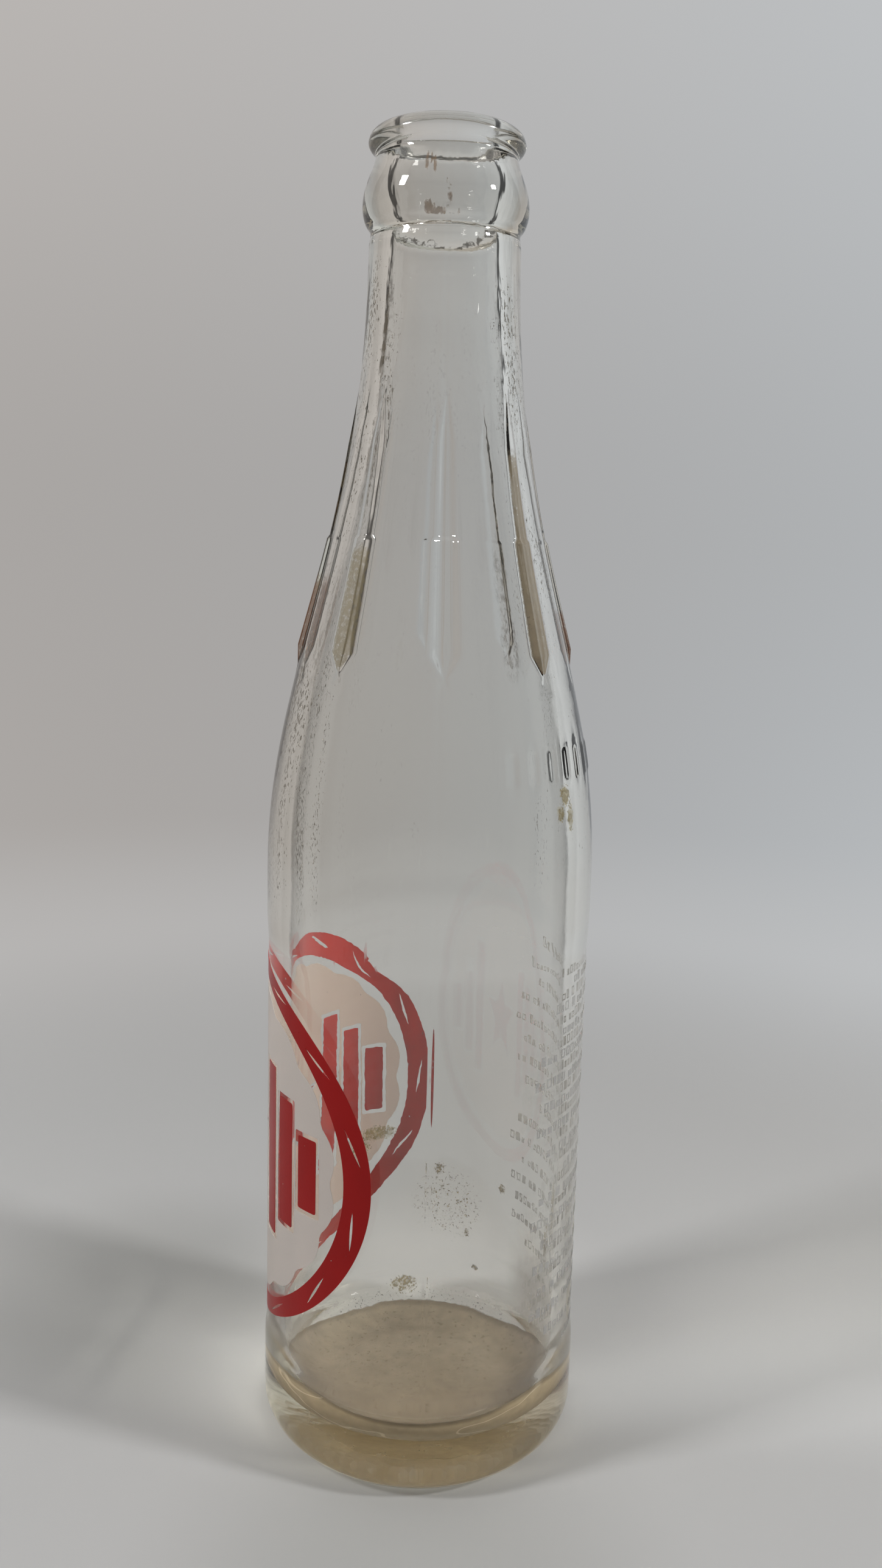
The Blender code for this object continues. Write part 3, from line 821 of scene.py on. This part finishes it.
def glassMaterial():
    material, nodes = newMaterial("clearGlass", (0.86, 0.86, 0.8))
    place = nodes.node("TexCoord", out=3)
    cavity, streaks, residue, under = (nodes.node("Attribute", {"attribute_name": name}, out=2)
                                       for name in ("cavity", "streaks", "residue", "under"))
    layers = dirtLayers(nodes, place, cavity, streaks, residue)
    colour = dirtColour(nodes, place, residue, layers)
    grime = nodes.node("BsdfPrincipled", None, {
        "Base Color": colour, "Roughness": 0.85, "Specular IOR Level": 0.1})
    shown = nodes.mixShader(layers["mask"], bareGlass(nodes, place, cavity, under), grime)

    # lamps shine through, least at the edges
    lampRay, = nodes.several("LightPath", ["Is Shadow Ray"])
    facing = nodes.node("LayerWeight", None, {"Blend": 0.5}, out=1)
    clearPart = nodes.node("BsdfTransparent", None, {"Color": glassLook["shineThrough"]})
    edgePart = nodes.node("BsdfTransparent", None, {"Color": glassLook["edgeShineThrough"]})
    lit = nodes.mixShader(nodes.ease(facing, 0.2, 0.9), clearPart, edgePart)
    surface = nodes.mixShader(lampRay, shown, lit)
    volume = nodes.node("VolumeAbsorption", None, {
        "Color": glassLook["bodyColour"], "Density": glassLook["bodyDensity"]})
    nodes.node("OutputMaterial", None, {"Surface": surface, "Volume": volume})
    return material


def makeGlass():
    glass = spinProfile(insideProfile() + outsideProfile())
    points = readPoints(glass)
    inside = insideShare(points)
    points = raiseRibs(points, 1 - inside)
    points = roughen(points, inside)
    writePoints(glass, points)
    soil(glass, points, inside)
    glass.data.polygons.foreach_set("use_smooth", [True] * len(glass.data.polygons))
    glass.data.materials.append(glassMaterial())
    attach(glass, "root")
    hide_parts("glass_bottle")
    print("glass", len(glass.data.polygons), "faces")


makeGlass()


# the fired enamel

enamel = {
    "radius": 29.2 * mm,
    "sink": 0.05 * mm,       # how far it lies in the glass
    "thick": 0.11 * mm,
    "turn": 2.5,             # degrees between the columns that bend it
}

inks = {
    # colour, roughness, cover, mottling, wear, and how much light from behind comes through, which also turns
    # on a painted glow
    "redEnamel": ((0.27, 0.003, 0.0025), 0.25, 0.998, 0.35, 0.0, 0.0),
    "redEnamelBack": ((0.44, 0.024, 0.016), 0.4, 0.985, 0.45, 0.2, 0.0),
    "whiteEnamel": ((0.50, 0.46, 0.43), 0.3, 0.80, 0.25, -0.3, 0.0),
    "whiteEnamelBack": ((0.68, 0.58, 0.52), 0.5, 0.92, 0.3, -0.2, 0.75),
    "faintWhiteEnamel": ((0.44, 0.435, 0.425), 0.5, 0.42, 0.4, 0.2, 0.0),
    "faintWhiteEnamelBack": ((0.33, 0.325, 0.31), 0.6, 0.45, 0.5, 0.2, 0.0),
}

frontPrint = {
    "azimuth": -100,
    "rise": 57.75 * mm,
    "halfWidth": 42.3 * mm,
    "halfHeight": 35.35 * mm,
    "bandSide": 5.2 * mm,
    "bandEnd": 3.0 * mm,
    "halo": 1.6 * mm,
    "leaves": 15,             # slits round the band
    "leafSize": (7.5 * mm, 0.5 * mm),
    "leafTurn": 0.2,          # radians off the band's own direction
    "scallops": 18,
    "scallopDepth": 1.4 * mm,
    "keyline": 0.8 * mm,
    "starShare": 0.16,
    "starWaist": 0.42,
    "barWidthShare": 0.065,
    "barPlaces": (0.215, 0.3125, 0.405),
    "barHeights": (0.52, 0.38, 0.22),
    "barCorner": 0.35 * mm,
}

backPrint = {
    "azimuth": 89,
    "halfAngle": 48,
    "lineHeight": 1.7 * mm,
    "top": 93.1 * mm,
    "foot": 22.4 * mm,
    # length of each row
    "shares": (0.55, 0.8, 0.7, 0.95, 1.0, 0.9, 0.97, 0.85, 0.6, 0.92, 1.0, 0.88, 0.96, 0.9, 0.98, 0.8,
               0.5),
    "blockWidth": (0.7 * mm, 0.7 * mm),     # least, and what chance adds
    "lowBlock": 0.72,         # height of the lower blocks
    "gap": 0.55 * mm,
    "wideGap": 1.5 * mm,
    "frame": 0.26 * mm,       # width of a hollow block's sides
}


def inkMaterial(name):
    colour, rough, hold, mottle, wear, glow = inks[name]
    material, nodes = newMaterial(name, colour)
    place = nodes.node("TexCoord", out=3)
    fine = nodes.noise(place, 2600, 2)
    cloud = nodes.noise(place, 160, 4, 0.6)
    darker, paler = tuple(c * 0.72 for c in colour), tuple(min(1, c * 1.25 + 0.01) for c in colour)
    tone = nodes.mixColour(nodes.ease(cloud, 0.3, 0.75) * mottle, colour, darker)
    tone = nodes.mixColour(fine * mottle * 0.5, tone, paler)
    chips = nodes.noise(place, 700, 4, 0.7) + (cloud - 0.5) * 0.25
    chips = nodes.ease(chips, 0.70 - wear * 0.1, 0.73 - wear * 0.1)
    scratch = nodes.ease(nodes.noise(place, 1200, 2, 0.5, (1, 1, 0.06)), 0.70, 0.74) * wear
    gone = nodes.node("Math", {"operation": "MAXIMUM", "use_clamp": True}, {0: chips, 1: scratch * 0.6})
    bump = nodes.node("Bump", None, {"Strength": 0.25, "Distance": 0.00005, "Height": fine})
    paint = nodes.node("BsdfPrincipled", None, {
        "Base Color": tone, "Roughness": rough + cloud * 0.12, "Specular IOR Level": 0.2, "Normal": bump})
    if glow:
        paint = nodes.mixShader(glow, paint, nodes.node("BsdfTranslucent", None, {"Color": colour}))
        # painted glow: emission at a quarter of the ink's colour, so the inner faces stay bright where no
        # lamp reaches them
        paintedGlowColour = tuple(c * 0.24 for c in colour)
        paintedGlowShader = nodes.node("Emission", None, {"Color": paintedGlowColour})
        paint = nodes.node("AddShader", None, {0: paint, 1: paintedGlowShader})
    bare = nodes.node("BsdfTransparent", None, {"Color": (1, 1, 1)})
    cover = (1 - gone) * (hold + (cloud - 0.5) * (1 - hold) * 0.8)
    nodes.node("OutputMaterial", None, {"Surface": nodes.mixShader(cover, bare, paint)})
    return material


def bendOnGlass(item, azimuth, rise, front, back):
    # cuts the flat plate into narrow columns and lays it round the bottle
    selectOnly(item)
    pitch = enamel["turn"] * degree * enamel["radius"]
    reach = np.abs(readPoints(item)[:, 0]).max()
    editMode()
    selectMesh()
    bpy.ops.mesh.quads_convert_to_tris()     # whole faces with hollows don't cut cleanly
    for column in range(-int(reach / pitch), int(reach / pitch) + 1):
        selectMesh()
        bpy.ops.mesh.bisect(plane_co=(column * pitch, 0, 0), plane_no=(1, 0, 0))
    selectMesh()
    bpy.ops.mesh.quads_convert_to_tris()
    bpy.ops.object.mode_set(mode="OBJECT")
    item.data.materials.clear()
    item.data.materials.append(front)
    item.data.materials.append(back)
    slots = [int(face.normal.z < -0.5) for face in item.data.polygons]
    item.data.polygons.foreach_set("material_index", slots)
    flat = readPoints(item)
    angle = azimuth * degree + flat[:, 0] / enamel["radius"]
    distance = enamel["radius"] - enamel["sink"] + flat[:, 2]
    x, y = distance * np.sin(angle), -distance * np.cos(angle)
    writePoints(item, np.stack([x, y, rise + flat[:, 1]], axis=1))
    bpy.ops.object.shade_smooth_by_angle(angle=30 * degree)
    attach(item, "root")


def thickenAs(name):
    # the active object's flat faces become closed plates
    editMode()
    selectMesh()
    bpy.ops.mesh.extrude_region_move(TRANSFORM_OT_translate={"value": (0, 0, enamel["thick"])})
    selectMesh()
    bpy.ops.mesh.normals_make_consistent(inside=False)
    return finishEdit(name)


def addDisc(corners):
    deselectAll()
    bpy.ops.mesh.primitive_circle_add(vertices=corners, fill_type="NGON")


def ovalPlate(name, halfWidth, halfHeight, points=160):
    addDisc(points)
    editMode()
    bpy.ops.transform.resize(value=(halfWidth, halfHeight, 1), center_override=(0, 0, 0))
    return thickenAs(name)


def rimPlate(name, corners, rim):
    # a disc whose corners are moved to where rim puts them
    addDisc(corners)
    plate = finishEdit(name)
    unit = readPoints(plate)
    x, y = rim(np.arctan2(unit[:, 1], unit[:, 0]))
    writePoints(plate, np.stack([x, y, 0 * x], axis=1))
    return thickenAs(name)


def scallopPlate(name, halfWidth, halfHeight, depth, count, pointsEach=9):
    def rim(angle):
        inset = depth * (1 - np.abs(np.sin(angle * count / 2)))
        return (halfWidth - inset) * np.cos(angle), (halfHeight - inset) * np.sin(angle)
    return rimPlate(name, count * pointsEach, rim)


def starPlate(name, radius, grow=0.0):
    def rim(angle):
        point = np.round((angle - math.pi / 2) / (math.pi / 5)).astype(int)
        reach = np.where(point % 2 == 0, radius + 2 * grow, radius * frontPrint["starWaist"] + grow)
        turn = math.pi / 2 + point * math.pi / 5
        return reach * np.cos(turn), reach * np.sin(turn)
    return rimPlate(name, 10, rim)


def uprightPlate(name, centre, width, height, grow=0.0):
    deselectAll()
    bpy.ops.mesh.primitive_plane_add(size=1, location=(centre, 0, 0))
    editMode()
    bpy.ops.transform.resize(value=(width + 2 * grow, height + 2 * grow, 1), center_override=(centre, 0, 0))
    bpy.ops.mesh.bevel(offset=frontPrint["barCorner"], segments=2, affect="VERTICES")
    return thickenAs(name)


def leafRow(name, halfWidth, halfHeight):
    # pointed leaves that follow an oval, each turned a little against it
    turns = np.linspace(0, 2 * math.pi, 721)
    steps = np.hypot(np.diff(halfWidth * np.cos(turns)), np.diff(halfHeight * np.sin(turns)))
    length = np.concatenate([[0], np.cumsum(steps)])
    long, wide = frontPrint["leafSize"]
    leaves = []
    for index in range(frontPrint["leaves"]):
        a = float(np.interp((index + 0.5) / frontPrint["leaves"] * length[-1], length, turns))
        heading = math.atan2(halfHeight * math.cos(a), -halfWidth * math.sin(a)) + frontPrint["leafTurn"]
        c, s = math.cos(heading), math.sin(heading)
        addDisc(16)
        leaf = bpy.context.active_object
        unit = readPoints(leaf)
        u, v = unit[:, 0] * long / 2, unit[:, 1] * np.abs(unit[:, 1]) * wide / 2
        x, y = halfWidth * math.cos(a) + u * c - v * s, halfHeight * math.sin(a) + u * s + v * c
        writePoints(leaf, np.stack([x, y, 0 * u], axis=1))
        leaves.append(leaf)
    joinPieces(leaves, leaves[-1])
    return thickenAs(name)


def cutOut(item, cutter):
    # takes the cutter's shape out of the plate
    points = readPoints(cutter)
    points[:, 2] = np.where(points[:, 2] > enamel["thick"] / 2, enamel["thick"] * 3, -enamel["thick"] * 2)
    writePoints(cutter, points)
    cut = item.modifiers.new("cut", "BOOLEAN")
    cut.operation, cut.solver, cut.object = "DIFFERENCE", "EXACT", cutter
    selectOnly(item)
    bpy.ops.object.modifier_apply(modifier=cut.name)
    bpy.data.objects.remove(cutter, do_unlink=True)


def makeFrontPrint():
    redFront, redBack, whiteFront, whiteBack = (
        inkMaterial(name) for name in ("redEnamel", "redEnamelBack", "whiteEnamel", "whiteEnamelBack"))
    p = frontPrint
    place = (p["azimuth"], p["rise"])
    innerWidth, innerHeight = p["halfWidth"] - p["bandSide"], p["halfHeight"] - p["bandEnd"]

    band = ovalPlate("labelBand", p["halfWidth"], p["halfHeight"])
    cutOut(band, ovalPlate("cutter", innerWidth, innerHeight))
    cutOut(band, leafRow("cutter", (p["halfWidth"] + innerWidth) / 2, (p["halfHeight"] + innerHeight) / 2))
    bendOnGlass(band, *place, redFront, redBack)
    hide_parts("red_band")

    whiteWidth, whiteHeight = innerWidth - p["halo"], innerHeight - p["halo"]
    starRadius = p["starShare"] * 2 * whiteHeight
    barWidth = p["barWidthShare"] * 2 * whiteWidth
    panel = scallopPlate("labelPanel", whiteWidth, whiteHeight, p["scallopDepth"], p["scallops"])
    cutOut(panel, starPlate("cutter", starRadius, p["keyline"]))
    for side, sign in (("left", -1), ("right", 1)):
        for rank, share, tall in zip(("inner", "middle", "outer"), p["barPlaces"], p["barHeights"]):
            centre, height = sign * share * 2 * whiteWidth, tall * 2 * whiteHeight
            cutOut(panel, uprightPlate("cutter", centre, barWidth, height, p["keyline"]))
            bar = uprightPlate("labelBar" + side.title() + rank.title(), centre, barWidth, height)
            bendOnGlass(bar, *place, redFront, redBack)
            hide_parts(f"red_bar_{side}_{rank}")
    bendOnGlass(panel, *place, whiteFront, whiteBack)
    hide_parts("white_panel")
    star = starPlate("labelStar", starRadius)
    bendOnGlass(star, *place, redFront, redBack)
    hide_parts("red_star")


def printBlock(centre, wide, tall, hollow):
    # stands on the row's foot
    middle = (centre, (tall - backPrint["lineHeight"]) / 2, 0)
    bpy.ops.mesh.primitive_plane_add(size=1, location=middle)
    editMode()
    bpy.ops.transform.resize(value=(wide, tall, 1), center_override=middle)
    bpy.ops.mesh.inset(thickness=backPrint["frame"])
    if hollow:
        bpy.ops.mesh.delete(type="FACE")
    bpy.ops.object.mode_set(mode="OBJECT")
    return bpy.context.active_object


def makeBackPrint():
    faintFront, faintBack = inkMaterial("faintWhiteEnamel"), inkMaterial("faintWhiteEnamelBack")
    p = backPrint
    chance = np.random.default_rng(7)
    pitch = (p["top"] - p["foot"] - p["lineHeight"]) / (len(p["shares"]) - 1)
    leastWidth, moreWidth = p["blockWidth"]
    for row, share in enumerate(p["shares"]):
        half = p["halfAngle"] * degree * enamel["radius"] * share
        deselectAll()
        places, x = [], -half
        while x < half - 1.2 * mm:
            wide = leastWidth + moreWidth * chance.random()
            tall = p["lineHeight"] * (1.0 if chance.random() < 0.6 else p["lowBlock"])
            places.append((x + wide / 2, wide, tall))
            x += wide + (p["gap"] if chance.random() < 0.82 else p["wideGap"])
        blocks = [printBlock(*values, chance.random() < 0.6) for values in places]
        joinPieces(blocks, blocks[0])
        line = thickenAs(f"backLine{row + 1:02d}")
        bendOnGlass(line, p["azimuth"], p["top"] - p["lineHeight"] / 2 - row * pitch, faintFront, faintBack)
        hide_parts(f"white_line_{row + 1:02d}")


print("front print")
makeFrontPrint()
print("back print")
makeBackPrint()
